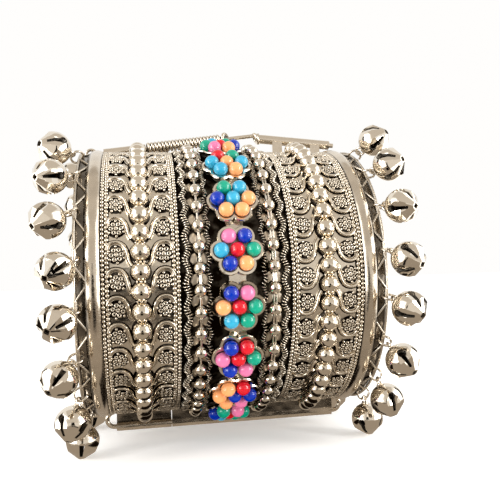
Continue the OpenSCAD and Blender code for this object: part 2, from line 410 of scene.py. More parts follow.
def hammeredPlate(name, clean, black, rough):
    # The curved plate: rims and bore rubbed bright, with random stains; painted shade makes it black where the ornament
    # covers it and darker on the lips and the hinge leaves
    material, tree, output = newMaterial(name)
    place = addNode(tree, "ShaderNodeTexCoord").outputs["Object"]
    axes = addNode(tree, "ShaderNodeSeparateXYZ", None, {"Vector": place})
    across = addNode(tree, "ShaderNodeVectorMath", {"operation": "MULTIPLY", 1: (0, 1, 1)}, {0: place})
    radius = addNode(tree, "ShaderNodeVectorMath", {"operation": "LENGTH"}, {0: across.outputs[0]}).outputs["Value"]
    width = combine(tree, "ABSOLUTE", axes.outputs["X"])
    split = combine(tree, "ABSOLUTE", axes.outputs["Y"])

    def zone(value, key, toLow=0.0, toHigh=1.0):
        low, high = plateZones[key]
        return remap(tree, value, low * mm, high * mm, toLow, toHigh)

    outer = zone(radius, "outerFace")
    # Painted shade: black under the ornament and in the gaps beside it, darker on the lips and on the hinge leaves
    covered = combine(tree, "MULTIPLY", outer, zone(width, "ornament", 1.0, 0.0))
    covered = combine(tree, "MULTIPLY", covered, zone(split, "seam"))
    lip = combine(tree, "MULTIPLY", outer, zone(width, "lip", 0.0, 0.72))
    leaf = combine(tree, "MULTIPLY", zone(radius, "leafFoot"), zone(radius, "leafTop", 0.6, 0.0))
    leaf = combine(tree, "MULTIPLY", leaf, zone(split, "leafFace", 1.0, 0.0))
    cloud = noise(tree, place, 190.0, 4.0)  # patches of about 5 mm
    stainsAndShade = combine(tree, "ADD", remap(tree, cloud, 0.4, 0.75, 0.0, 0.22), combine(tree, "ADD", lip, leaf))
    dark = combine(tree, "ADD", covered, stainsAndShade, clamp=True)
    blows = addNode(tree, "ShaderNodeTexVoronoi", {"Scale": 330.0, "feature": "SMOOTH_F1", "Smoothness": 0.6},
                    {"Vector": place}).outputs["Distance"]  # hammer marks of about 3 mm
    drawn = addNode(tree, "ShaderNodeMapping", {"Scale": (0.08, 1.0, 1.0)}, {"Vector": place}).outputs["Vector"]
    scratch = noise(tree, drawn, 5200.0, 2.0)  # scratches 0.2 mm wide along the cuff
    addSurface(tree, output, {"Metallic": 1.0}, {
        "Base Color": blend(tree, dark, linear(clean), linear(black)),
        "Roughness": remap(tree, scratch, 0.3, 0.7, rough * 0.6, rough * 1.5),
        "Normal": addBump(tree, scratch, 0.12, 0.04, addBump(tree, blows, 0.35, 0.3)),
    })
    return material


def glassPaste(name, colour, shade):
    # Moulded glass-paste bead, opaque and glossy, a little darker in its swirls
    material, tree, output = newMaterial(name)
    place = addNode(tree, "ShaderNodeTexCoord").outputs["Object"]
    swirl = noise(tree, place, 420.0, 2.0, 1.2)  # swirls of about 2 mm
    pit = noise(tree, place, 1300.0, 1.0)  # shallow dents of about 0.8 mm
    addSurface(tree, output, {"Roughness": 0.1, "Coat Weight": 0.35, "Coat Roughness": 0.03}, {
        "Base Color": blend(tree, swirl, linear(colour), linear(shade)),
        "Normal": addBump(tree, pit, 0.08, 0.1),
    })
    return material


finishes = {
    "satinSilver": silver("satinSilverPlate", "#E4D9C8", "#3A2816", 0.17, 0.08, 0.3, 700.0),
    "antiqueSilver": silver("antiquedSilverGranulation", "#EBE0CE", "#140A04", 0.13, 0.1, 0.12),
    "blackenedSilver": silver("blackenedSilverSheet", "#DACCB8", "#140C05", 0.3, 0.12, 0.4),
    "polishedSilver": silver("polishedSilverPlate", "#EAE0D0", "#1A1008", 0.08, 0.05, 0.05),
    "drawnWire": silver("drawnSilverWire", "#E6DBCA", "#14100A", 0.12, 0.08, 0.1),
    "plate": hammeredPlate("hammeredSilverPlate", "#E2D6C4", "#1A1008", 0.2),
}
beadColours = {
    "blue": ("#0032AC", "#002284"),
    "turquoise": ("#38A8C8", "#288CAE"),
    "green": ("#0EA080", "#098468"),
    "red": ("#D81828", "#AE0F1C"),
    "peach": ("#F2A870", "#E69456"),
    "pink": ("#DE7AA2", "#CC648E"),
}
for colourName, shades in beadColours.items():
    finishes[colourName] = glassPaste("glassPaste" + colourName.capitalize(), *shades)
print("materials ready")

# Camera, floor and lights

view = {
    "position": (-22.71, -183.70, 1.11),
    "target": (10.0, 0.0, 8.2),
    "roll": 0.036,
    "focalPixels": 608.0,
    "imagePixels": 500.0,
    "sensor": 36.0,
}
studio = {
    "floor": -46.05,
    "paper": "#FBFAF8",
    "glow": 0.29,  # light that comes through the paper from below
    "air": 1.0,  # light of the white tent all round
    # each softbox and lamp: direction from the anklet, distance, width and height in mm, and brightness
    "softboxes": {
        "left": ((-0.96, -0.24, 0.30), 520, 520, 560, 1.8),
        "right": ((0.96, -0.24, 0.30), 520, 520, 560, 1.8),
    },
    "lamps": {
        "left": ((-0.86, -0.40, 0.30), 500, 90, 90, 14.0),
        "right": ((0.80, -0.52, 0.32), 500, 90, 90, 20.0),
        "lowLeft": ((-0.80, -0.60, 0.0), 330, 120, 60, 10.0),
        "lowRight": ((0.80, -0.60, 0.0), 330, 120, 60, 10.0),
    },
    # glowing cards that only the reflections show: their corners in mm, and colour
    "cards": {
        "camera": (((-46, -188, 31), (-2, -188, 31), (16, -188, -34), (-64, -188, -34)), "#050403"),
        "shade": (((-60, -188, -45.7), (14, -188, -45.7), (-4, -84, -45.7), (-42, -84, -45.7)), "#0A0806"),
        # Painted shadow: a dark card where the anklet's shadow lies on the table
        "under": (((-31, -30, -45.8), (31, -30, -45.8), (31, -8, -45.8), (-31, -8, -45.8)), "#140D07"),
        "table": (((-120, -420, -45.9), (120, -420, -45.9), (120, 220, -45.9), (-120, 220, -45.9)), "#A69A8C"),
        "wall": (((-300, -420, 420), (300, -420, 420), (300, -420, 110), (-300, -420, 110)), "#DAD2C8"),
        "screen": (((-300, -420, 110), (300, -420, 110), (300, -420, -45), (-300, -420, -45)), "#EEE8E0"),
        "ceiling": (((-300, 150, 420), (300, 150, 420), (300, -420, 420), (-300, -420, 420)), "#D6CEC4"),
        "leftEdge": (((-260, 30, 180), (-260, 130, 180), (-260, 130, -45), (-260, 30, -45)), "#1E1812"),
        "rightEdge": (((260, 130, 180), (260, 30, 180), (260, 30, -45), (260, 130, -45)), "#1E1812"),
    },
}


def makeCamera():
    data = bpy.data.cameras.new("photoCamera")
    camera = bpy.data.objects.new("photoCamera", data)
    bpy.context.scene.collection.objects.link(camera)
    data.sensor_width = view["sensor"]
    data.lens = view["sensor"] * view["focalPixels"] / view["imagePixels"]
    data.clip_start = 0.01
    data.clip_end = 20.0
    position, target = Vector(view["position"]) * mm, Vector(view["target"]) * mm
    forward = (target - position).normalized()
    side = forward.cross(Vector((0, 0, 1))).normalized()
    up = side.cross(forward)
    c, s = math.cos(view["roll"]), math.sin(view["roll"])
    right, above = side * c - up * s, side * s + up * c
    matrix = Matrix((right, above, -forward)).transposed().to_4x4()
    matrix.translation = position
    camera.matrix_world = matrix
    bpy.context.scene.camera = camera


def addLight(name, direction, distance, width, height, brightness):
    # Brightness is that of the lit face, where the white paper in full light is about 1
    data = bpy.data.lights.new(name, "AREA")
    data.shape = "RECTANGLE"
    data.size, data.size_y = width * mm, height * mm
    data.energy = brightness * math.pi * width * height * mm * mm
    light = bpy.data.objects.new(name, data)
    bpy.context.scene.collection.objects.link(light)
    light.location = Vector(direction).normalized() * distance * mm
    light.rotation_euler = light.location.to_track_quat("Z", "Y").to_euler()
    light.visible_camera = False


def addCard(name, corners, colour):
    deselectAll()
    bpy.ops.mesh.primitive_plane_add(size=2)
    card = activeObject()
    card.name = name + "Card"
    setCoordinates(card, np.array([corners[3], corners[2], corners[0], corners[1]], float) * mm)
    material, tree, output = newMaterial(name + "GlowCard")
    shader = addNode(tree, "ShaderNodeEmission", {"Color": linear(colour), "Strength": 1.0})
    tree.links.new(shader.outputs["Emission"], output.inputs["Surface"])
    card.data.materials.append(material)
    card.visible_camera = False
    card.visible_shadow = False
    card.visible_diffuse = False


def makeStudio():
    deselectAll()
    bpy.ops.mesh.primitive_plane_add(size=6, location=(0, 0, studio["floor"] * mm))
    floor = activeObject()
    floor.name = "studioFloor"
    bpy.ops.object.transform_apply(location=True, rotation=True, scale=True)
    material, tree, output = newMaterial("whitePaperFloor")
    paper = linear(studio["paper"])
    addSurface(tree, output, {"Base Color": paper, "Roughness": 0.8,
                              "Emission Color": paper, "Emission Strength": studio["glow"]})
    floor.data.materials.append(material)
    for name, (corners, colour) in studio["cards"].items():
        addCard(name, corners, colour)
    world = bpy.data.worlds.new("studioWorld")
    bpy.context.scene.world = world
    world.use_nodes = True
    world.node_tree.nodes["Background"].inputs[0].default_value = (1, 0.99, 0.975, 1)
    world.node_tree.nodes["Background"].inputs[1].default_value = studio["air"]
    bpy.context.scene.view_settings.view_transform = "Standard"
    for kind in ("softboxes", "lamps"):
        for name, values in studio[kind].items():
            addLight(kind + name.capitalize(), *values)


makeCamera()
makeStudio()
print("camera and studio ready")


# Side panels

panelSizes = {
    "centreX": 23.1,
    "width": 19.0,
    "sheet": 0.6,
    "bed": (8.4, 1.2),  # distance from the panel's middle and half width of the black beds, painted shade under the granule borders
    "borderRows": (8.93, 7.88),  # distance of the two rows of granules from the panel's middle
    "granule": 0.56,
    "granulePitch": 1.1,
    "rosetteX": 5.55,
    "rosetteStep": 10.1,
    "rosettes": 17,
    # discs: radius, height, bevel and sides
    "disc": (1.95, 0.3, 0.1, 16),
    "rosetteShadow": (2.45, 0.1, 0.02, 20),
    "collar": (2.6, 0.24, 0.1, 24),
    "seat": (2.12, 0.5, 0.12, 24),
    # a rosette's rings of drawn wire, and the grains between and round them: distance, number, size, height
    "rings": ((0.0, 1, 0.4, 0.56), (1.22, 6, 0.4, 0.46)),
    "grains": ((0.0, 1, 0.18, 0.5), (1.98, 6, 0.36, 0.36)),
    "ringWire": 0.2,
    "ballStep": 7.15,
    "balls": 24,
    "ball": 2.3,
    "ballHeight": 1.35,
    "jointGrain": 0.36,
    "jointGrains": ((-0.9, 0.6), (0, 0.85), (0.9, 0.6)),  # along the cuff, and height
    "wire": 0.42,
    "innerWire": 0.2,
    # the arch starts at the border, goes over the rosette and curls in under the balls
    "arch": ((2.3, 1.6), (1.9, 2.4), (1.15, 2.95), (0.05, 3.1), (-1.0, 2.8), (-1.8, 2.05), (-2.3, 1.1),
             (-2.6, 0.1), (-2.8, -0.9), (-3.1, -1.8), (-3.6, -2.6)),
    "innerEnd": ((-2.2, -1.0), (-2.5, -1.9), (-3.0, -2.8)),
}


def makeRosette():
    s = panelSizes
    parts = [setTarnishAndShade(addDisc(*s["disc"]), 1.0)]
    for radius, count, size, height in s["rings"]:
        ring = tarnishAndShadeByHeight(addTorus(size, s["ringWire"], 10, 5), -0.2, -0.04)
        places = [turn(360 * k / count, "Z") @ shift(radius, 0, height)
                  @ Matrix.Rotation(random.uniform(-0.3, 0.3), 4, "Y") for k in range(count)]
        parts.append(placedCopies(ring, places, "rings"))
    for radius, count, size, height in s["grains"]:
        grain = tarnishAndShadeByHeight(addGranule(size), -0.3 * size, 0.1 * size)
        places = [turn(360 * (k + 0.5) / count, "Z") @ shift(radius, 0, height) for k in range(count)]
        parts.append(placedCopies(grain, places, "grains"))
    return joinAll(parts, "rosette")


def makeShadeBand(points, radius):
    # A wire pressed flat on the sheet and made black: painted shade along wires and granules
    band = wireAlong(points, radius, "band", 4)
    p = coordinates(band)
    level = 0.02 * mm
    p[:, 2] = level + (p[:, 2] - level) * 0.03
    setCoordinates(band, p)
    return setTarnishAndShade(band, 1.0)


def makeScroll():
    s = panelSizes
    path = smoothPath(s["arch"], 3)
    outer = tarnishAndShadeByHeight(wireAlong([(x, y, 0.42) for x, y in path], s["wire"], "scroll"), -0.05, 0.18)
    inner = [(x * 0.79 + 0.03, y * 0.82 - 0.02) for x, y in s["arch"][:8]] + list(s["innerEnd"])
    thin = wireAlong([(x, y, 0.26) for x, y in smoothPath(inner, 3)], s["innerWire"], "scrollInner", 4)
    tarnishAndShadeByHeight(thin, 0.0, 0.2)
    # Painted shadow: a black band along both sides of the wire
    band = makeShadeBand([(x, y, 0.03) for x, y in path], s["wire"] + 0.26)
    return joinAll([outer, thin, band], "scroll")


def makeSheet(reach):
    s = panelSizes
    sheet = addBlock((s["width"], 2 * reach, s["sheet"]), (0, 0, -s["sheet"] / 2))
    work = bmesh.new()
    work.from_mesh(sheet.data)
    for y in evenly(reach)[1:-1]:
        bmesh.ops.bisect_plane(work, geom=work.verts[:] + work.edges[:] + work.faces[:],
                               plane_co=(0, y * mm, 0), plane_no=(0, 1, 0))
    work.to_mesh(sheet.data)
    work.free()
    return setTarnishAndShade(sheet, 0.12)


def makeBorders(reach):
    s = panelSizes
    grain = tarnishAndShadeByHeight(addGranule(s["granule"]), -0.25 * s["granule"], 0.15 * s["granule"])
    count = int(2 * reach / s["granulePitch"])
    places = []
    for row, x in enumerate(s["borderRows"]):
        for sign in (-1, 1):
            for k in range(count):
                y = -reach + (k + 0.5 + 0.5 * row) * 2 * reach / (count + 0.5)
                size = random.uniform(0.9, 1.06)
                places.append(shift(sign * x, y, 0.24) @ anyTurn() @ Matrix.Scale(size, 4))
    return placedCopies(grain, places, "border")


def makeOrnament(side, radius):
    s = panelSizes
    rosette, scroll = makeRosette(), makeScroll()
    # Painted shadow: a black disc a little off-centre under each rosette shows as a dark crescent beside it
    rosetteShadow = setTarnishAndShade(addDisc(*s["rosetteShadow"]), 1.0)
    flip = -1 if side > 0 else 1
    rosettePlaces, scrollPlaces, rosetteShadowPlaces = [], [], []
    for th in spread(s["rosettes"], s["rosetteStep"]):
        for sign in (-1, 1):
            at = shift(sign * s["rosetteX"], math.radians(th) * radius, 0)
            rosettePlaces.append(at @ shift(0, 0, 0.1) @ anyTurn())
            rosetteShadowPlaces.append(at @ shift(0, 0.2 * flip, 0))
            scrollPlaces.append(at @ Matrix.Diagonal((sign, flip, 1, 1)))
    parts = [placedCopies(rosette, rosettePlaces, "rosettes"), placedCopies(rosetteShadow, rosetteShadowPlaces, "rosetteShadows"),
             placedCopies(scroll, scrollPlaces, "scrolls")]
    recalculateNormals(parts[-1])
    return parts


def makeBallInCollar(radius):
    # A ball in a black collar on a dark seat, with a few grains where two collars meet
    s = panelSizes
    ball = setTarnishAndShade(addBall(s["ball"], 28, 14, (0, 0, s["ballHeight"])), 0.0)
    collar = setTarnishAndShade(addDisc(*s["collar"]), 1.0)
    seat = setTarnishAndShade(addDisc(*s["seat"]), 0.7)
    grain = tarnishAndShadeByHeight(addGranule(s["jointGrain"]), -0.05, 0.1)
    joint = cuffPlace(0, 0, radius).inverted() @ cuffPlace(0, s["ballStep"] / 2, radius)
    grains = placedCopies(grain, [joint @ shift(x, 0, height) for x, height in s["jointGrains"]], "jointGrains")
    return joinAll([ball, collar, seat, grains], "ballInCollar")


def makePanel(name, side, back):
    s = panelSizes
    radius = cuff["panelRadius"]
    reach = math.radians(cuff["ornamentSpan"]) * radius
    bedX, bedWidth = s["bed"]
    parts = [makeSheet(reach)]
    # Painted shade: black beds under the granule borders
    parts += [makeShadeBand([(sign * bedX, y, 0.02) for y in evenly(reach)], bedWidth) for sign in (-1, 1)]
    parts.append(makeBorders(reach))
    parts += makeOrnament(side, radius)
    flat = joinAll(parts, name)
    p = coordinates(flat)
    p[:, 0] += side * s["centreX"] * mm
    setCoordinates(flat, p)
    wrapOnCuff(flat, radius, back)
    # The ball nearest to the hinge is left out
    places = [cuffPlace(side * s["centreX"], th, radius, back) for th in spread(s["balls"], s["ballStep"])[:-1]]
    column = placedCopies(makeBallInCollar(radius), places, "ballColumn")
    return joinAll([flat, column], name)


for half in ("front", "back"):
    for side, word in ((-1, "left"), (1, "right")):
        panel = makePanel(f"{half}_{word}_panel_granulated", side, half == "back")
        finishPiece(panel, f"{half}_half", f"{half}_{word}_panel", finishes["antiqueSilver"])
        print("panel", panel.name, len(panel.data.polygons))

# Middle strip, ropes and ball chains

middleSizes = {
    "width": 26.8,
    "strip": 0.34,
    "chainX": 9.1,
    "chainStep": 7.95,
    "chainBalls": 22,
    "chainBall": 1.6,
    "chainRadius": 38.45,  # height of the ball centres above the cuff's axis
    "cap": (0.42, 0.16, 12, 6),
    "rod": 0.3,
    "pairedRods": (0.24, 0.33),  # radius, and distance to each side, of the two rods of the right chain
    "leaf": (1.05, 1.5, 0.3),  # half width, half length and thickness of the leaves beside each rod
    "leafX": 1.3,
    "leafTilt": 14.0,
}
ropeSizes = {
    # distance from the middle, radius of the coil, sideways swing, length of a wave, radius of the wire
    # and shortest and longest pitch
    "inner": {"x": 6.85, "coil": 0.55, "swing": 0.36, "wave": 4.6, "wire": 0.165, "pitch": (0.55, 1.0)},
    "outer": {"x": 12.05, "coil": 0.72, "swing": 0.5, "wave": 5.7, "wire": 0.18, "pitch": (0.55, 0.75)},
}


def makeMiddleStrip(name, back):
    s = middleSizes
    radius = cuff["stripRadius"]
    reach = math.radians(cuff["ornamentSpan"]) * radius
    strip = setTarnishAndShade(addSlab(s["width"], reach, -s["strip"], 0.0, cuff["divisions"]), 1.0)
    deselectAll()
    bpy.ops.mesh.primitive_cylinder_add(vertices=6, radius=1, depth=1)
    leaf = activeObject()
    setCoordinates(leaf, coordinates(leaf) * np.array(s["leaf"]) * mm)
    bevelEdges(leaf, 0.22)
    smoothByAngle(leaf, 50)
    setTarnishAndShade(leaf, 0.08)
    places = []
    for th in spread(s["chainBalls"] - 1, s["chainStep"]):
        for sign in (-1, 1):
            for hand in (-1, 1):
                places.append(shift(sign * s["chainX"] + hand * s["leafX"], math.radians(th) * radius, 0.2)
                              @ turn(hand * s["leafTilt"] + random.uniform(-5, 5), "Z") @ turn(hand * 8, "Y"))
    flat = joinAll([strip, placedCopies(leaf, places, "leaves")], name)
    wrapOnCuff(flat, radius, back)
    return flat


def makeRope(x, size):
    # A close-wound fine wire round a black core, painted shade inside the coil, laid in an uneven wave from side to
    # side
    radius = cuff["stripRadius"] + size["coil"]
    reach = math.radians(cuff["ornamentSpan"]) * radius
    steps = 8
    points, core = [], []
    y, count, wave = -reach, 0, 0.0
    while y < reach:
        if count % steps == 0:
            pitch = random.uniform(*size["pitch"])
            swing = size["swing"] * random.uniform(0.75, 1.25)
            coil = size["coil"] * random.uniform(0.88, 1.08)
        phase = 2 * math.pi * wave
        slope = size["swing"] * 2 * math.pi / size["wave"] * math.cos(phase)
        step = pitch / steps / math.hypot(1, slope)
        n = Vector((1, -slope, 0)).normalized()
        a = 2 * math.pi * count / steps
        middle = x + swing * math.sin(phase)
        points.append((middle + coil * math.cos(a) * n.x, y + coil * math.cos(a) * n.y, coil * 0.9 * math.sin(a)))
        if count % steps == 0:
            core.append((middle, y, -0.1))
        y += step
        wave += step / size["wave"]
        count += 1
    rope = wireAlong(points, size["wire"], "rope", 4)
    tarnishAndShadeByHeight(rope, -size["coil"] * 0.2, size["coil"] * 0.6)
    # Painted shade: the black core shows between the turns of the coil
    inside = setTarnishAndShade(wireAlong(core, size["coil"] * 0.72, "core"), 1.0)
    return joinAll([rope, inside], "rope"), radius


def makeRopes(name, back):
    ropes = []
    for size in ropeSizes.values():
        for sign in (-1, 1):
            rope, radius = makeRope(sign * size["x"], size)
            wrapOnCuff(rope, radius, back)
            ropes.append(rope)
    return joinAll(ropes, name)


def makeChains(name, back):
    s = middleSizes
    ball = setTarnishAndShade(addBall(s["chainBall"]), 0.0)
    cap = setTarnishAndShade(addTorus(*s["cap"]), 0.35)
    capPlaces = [turn(90 + t, "X") @ shift(0, 0, s["chainBall"] * 0.96) for t in (0, 180)]
    unit = joinAll([ball, placedCopies(cap, capPlaces, "caps")], "chainBall")
    angles = spread(s["chainBalls"], s["chainStep"])
    places = [cuffPlace(sign * s["chainX"], th, s["chainRadius"], back, random.uniform(-4, 4))
              for th in angles for sign in (-1, 1)]
    parts = [placedCopies(unit, places, "chainBalls")]
    pairRadius, pairX = s["pairedRods"]
    for x, radius in ((-s["chainX"], s["rod"]), (s["chainX"] - pairX, pairRadius), (s["chainX"] + pairX, pairRadius)):
        path = [onCuff(x, angles[0] - i * s["chainStep"] / 4, s["chainRadius"]) for i in range(4 * len(angles) - 3)]
        if back:
            path = [(a, -b, -c) for a, b, c in path]
        parts.append(setTarnishAndShade(wireAlong(path, radius, "rod", 8), 0.05))
    return joinAll(parts, name)


for half in ("front", "back"):
    back = half == "back"
    body = half + "_half"
    strip = makeMiddleStrip(half + "_middle_strip_plated", back)
    finishPiece(strip, body, half + "_middle_strip", finishes["blackenedSilver"])
    ropes = makeRopes(half + "_coiled_ropes", back)
    finishPiece(ropes, body, half + "_rope_strips", finishes["antiqueSilver"])
    chains = makeChains(half + "_chains_of_balls", back)
    finishPiece(chains, body, half + "_ball_chains", finishes["polishedSilver"])
    print("middle", half, len(ropes.data.polygons), len(chains.data.polygons))


# Broad rounded rims, and the plain lips of the curved plate outside them

rimSizes = {
    "middle": 34.3,  # distance of the rim's crest from the middle of the cuff
    "halfWidth": 1.4,
    "height": 1.1,
    "lip": 37.9,  # how far out the lip goes
    "thickness": 0.85,
    "span": 88.6,  # half angle that the rims of one half cover
}


def makeRims(name, back):
    s = rimSizes
    section = [(s["middle"] + s["halfWidth"] * math.sin(math.radians(a)), s["height"] * math.cos(math.radians(a)))
               for a in range(-90, 91, 15)]
    section += [(s["lip"] - 0.25, 0.0), (s["lip"] - 0.08, -0.07), (s["lip"], -0.25)]
    reach = math.radians(s["span"]) * cuff["plateRadius"]
    rims = []
    for side in (-1, 1):
        deselectAll()
        bpy.ops.mesh.primitive_grid_add(x_subdivisions=len(section) - 1, y_subdivisions=120, size=1)
        rim = activeObject()
        p = coordinates(rim)
        column = np.round((p[:, 0] + 0.5) * (len(section) - 1)).astype(int)
        outline = np.array(section)[column]
        setCoordinates(rim, np.column_stack([side * outline[:, 0], p[:, 1] * 2 * reach, outline[:, 1]]) * mm)
        wall = rim.modifiers.new("wall", "SOLIDIFY")
        wall.thickness = s["thickness"] * mm
        wall.offset = side
        wall.use_even_offset = False
        applyModifiers(rim)
        recalculateNormals(rim)
        smoothByAngle(rim, 40)
        rims.append(rim)
    both = joinAll(rims, name)
    wrapOnCuff(both, cuff["plateRadius"], back)
    return both


for half in ("front", "back"):
    rims = makeRims(half + "_rims_and_lips", half == "back")
    finishPiece(rims, half + "_half", None, finishes["plate"])
print("rims ready")


# Flower cups

flowerSizes = {
    "flowers": 8,
    "step": 20.0,
    "cupRadius": 37.06,
    "petal": 3.9,
    # each ring of a cup's section: radius of the lobes, height
    "rings": ((1.96, 0.0), (2.04, 0.75), (2.6, 1.2), (2.78, 1.52), (2.62, 1.84), (2.05, 1.9), (1.9, 1.55), (1.7, 0.8)),
    "floor": 0.75,
    "tab": (4.1, 0.62),  # width and thickness of the strip that joins the cups
}


def makeCup():
    # Raised ring by ring, each one bulging into six lobes
    s = flowerSizes
    lift = 0.1
    deselectAll()
    bpy.ops.mesh.primitive_circle_add(vertices=96, radius=1, fill_type="NGON")
    cup = activeObject()
    bpy.ops.object.mode_set(mode="EDIT")
    for ring in s["rings"][1:]:
        bpy.ops.mesh.select_mode(type="FACE")
        bpy.ops.mesh.extrude_region_move(TRANSFORM_OT_translate={"value": (0, 0, lift)})
    bpy.ops.object.mode_set(mode="OBJECT")
    p = coordinates(cup)
    level = np.round(p[:, 2] / lift).astype(int)
    angle = np.arctan2(p[:, 1], p[:, 0])
    off = (angle + math.pi / 6) % (math.pi / 3) - math.pi / 6
    lobe, height = np.array(s["rings"])[level].T
    rim = s["petal"] * np.cos(off) + np.sqrt(np.maximum(lobe ** 2 - (s["petal"] * np.sin(off)) ** 2, 0))
    rim = np.maximum(rim, s["petal"] - 0.5 + 0.3 * (lobe - 1.7))
    setCoordinates(cup, np.column_stack([np.cos(angle) * rim, np.sin(angle) * rim, height]) * mm)
    recalculateNormals(cup)
    smoothByAngle(cup, 50)
    return setTarnishAndShade(cup, np.where(coordinates(cup)[:, 2] / mm < s["floor"] + 0.1, 0.25, 0.0))


def makeFlowerCups(name, back):
    s = flowerSizes
    radius = s["cupRadius"]
    angles = spread(s["flowers"], s["step"])
    cups = placedCopies(makeCup(), [cuffPlace(0, th, radius, back) for th in angles], "cups")
    width, thickness = s["tab"]
    tabs = addSlab(width, math.radians(cuff["ornamentSpan"]) * radius, 0.0, thickness, 128)
    # The tab is narrower half way between two flowers
    p = coordinates(tabs)
    th = np.degrees(p[:, 1] / mm / radius)
    nearest = np.min(np.abs(th[:, None] - np.array(angles)[None, :]), axis=1)
    p[:, 0] *= np.clip(1.55 - 0.055 * nearest, 0.9, 1.25)
    setCoordinates(tabs, p)
    setTarnishAndShade(tabs, 0.1)
    wrapOnCuff(tabs, radius, back)
    return joinAll([cups, tabs], name)


for half in ("front", "back"):
    cups = makeFlowerCups(half + "_scalloped_cups", half == "back")
    finishPiece(cups, half + "_half", half + "_flower_cups", finishes["polishedSilver"])
print("flower cups ready")


# Wire edging, jump rings and bells

edgeSizes = {
    "railX": 38.5,
    "railRadius": 37.3,
    "rail": 0.36,
    "zigzag": 0.3,
    "foot": (0.35, 0.98),  # how far a foot of the zigzag stands outside the rim, and off the plate
    "run": 2.3,  # degrees that the zigzag lies along the rail, to each side
    "solder": 0.42,
    "bells": 8,
    "step": 18.4,
    "ringAt": 0.7,
    "ring": 1.7,
    "ringWire": 0.32,
    "loopAt": 2.8,
    "loop": 1.15,
    "loopWire": 0.33,
    "sway": 15.0,  # degrees that a ring and its bell may lean from the way they hang in the source
    "droop": 10.0,  # and degrees that an upper bell bends down from its ring
}
bellSizes = {
    "radius": 4.4,
    "at": 8.0,
    "sheet": 0.42,
    "foot": 0.2,  # half width of the foot, as a share of the radius
    "petal": 1.28,  # how fast the flat petals widen from the foot up
    "valley": 0.2,  # how deep the folded edges of the petals go in
    "fold": 27.0,  # degrees from a slot to the crease beside it, at most
    "keyhole": 0.95,
    "slot": (1.3, 0.7),  # width of the slot at its top and at its end
    "slotEnd": 0.8,
    "footHole": 0.62,
    "cap": (1.05, 0.4, 0.12, 16),
}


def hangPlace(e, side, back, at, bell):
    # Where a ring or bell hangs at height e on the cuff: straight down on the lowest part, and above
    # it a mix of outwards and sideways. Each one then leans a little its own way.
    s = edgeSizes
    low = share((-e - 20) / 44)
    outward = 0.3 + 0.7 * low
    v = Vector((side * (0.55 - 0.43 * low), -outward * math.cos(math.radians(e)),
                0.7 * (1 - low) - outward * math.sin(math.radians(e)))).normalized()
    if side < 0:
        out = 0.38 + 0.38 * share((e - 9) / 18) - 0.4 * share((-27 - e) / 19)
    else:
        out = 0.36 - 0.5 * share((e - 27) / 37) - 0.4 * share(-e / 28)
    along = min(0.3, max(-0.5, -0.34 - 0.018 * e))
    if e > -60:
        drawn = v.rotation_difference(Vector((side * out, along, math.sqrt(1 - out * out - along * along))))
        v = Quaternion(drawn.axis, min(drawn.angle, math.radians(s["sway"]))) @ v
    hand = -1 if back else 1
    droop = hand * s["droop"] * share((e - 9) / (18 if side < 0 else 55)) if bell else 0
    pivot = s["ringAt"] + s["ring"]
    return (cuffPlace(side * s["railX"], 180 - e if back else e, s["railRadius"])
            @ Matrix.Rotation(math.atan2(v.x, v.z), 4, "Y") @ Matrix.Rotation(-math.asin(hand * v.y), 4, "X")
            @ shift(0, 0, pivot) @ turn(droop, "X") @ shift(0, 0, at - pivot))


def makeEdging(name, side, back):
    s = edgeSizes
    railX, railR = s["railX"], s["railRadius"]
    footX, footR = side * (cuff["rimX"] + s["foot"][0]), cuff["plateRadius"] + s["foot"][1]
    rail = [onCuff(side * railX, e, railR) for e in evenly(cuff["ornamentSpan"])]
    rail = wireAlong(rail, s["rail"], "rail", 8)
    path = []
    for e in spread(s["bells"], s["step"]):
        path += [onCuff(footX, e + s["step"] / 2, footR),
                 onCuff(side * (railX - 0.35), e + s["run"] + 0.9, railR + 0.15),
                 onCuff(side * (railX - 0.45), e, railR + 0.12),
                 onCuff(side * (railX - 0.35), e - s["run"] - 0.9, railR + 0.15)]
    path.append(onCuff(footX, -s["bells"] / 2 * s["step"], footR))
    # Sharper at its turns than along its runs
    dense = []
    for a, b in zip(path[:-1], path[1:]):
        a, b = Vector(a), Vector(b)
        dense += [tuple(a), tuple(a.lerp(b, 0.12)), tuple(a.lerp(b, 0.88))]
    zigzag = wireAlong(smoothPath(dense + path[-1:], 3), s["zigzag"], "zigzag")
    places = [shift(*onCuff(footX, e, footR - 0.1)) @ Matrix.Diagonal((1, 1.3, 1, 1))
              for e in spread(s["bells"] + 1, s["step"])]
    places += [shift(*onCuff(side * (railX - 0.2), e + sign * (s["run"] + 0.6), railR)) @ Matrix.Scale(0.9, 4)
               for e in spread(s["bells"], s["step"]) for sign in (-1, 1)]
    edging = joinAll([rail, zigzag, placedCopies(addBall(s["solder"], 12, 6), places, "solder")], name)
    if back:
        setCoordinates(edging, coordinates(edging) * (1, -1, -1))
    return setTarnishAndShade(edging, 0.18)


def makeJumpRings(name, side, back):
    # Bent from a straight piece, so its two ends meet a little beside each other
    s = edgeSizes
    path = []
    for k in range(41):
        a = math.radians(6 + 348 * k / 40)
        path.append((s["ring"] * math.cos(a), 0.16 * (k / 40 - 0.5), s["ring"] * math.sin(a)))
    ring = setTarnishAndShade(wireAlong(path, s["ringWire"], "ring", 8), 0.12)
    places = [hangPlace(e, side, back, s["ringAt"], False) for e in spread(s["bells"], s["step"])]
    return placedCopies(ring, places, name)


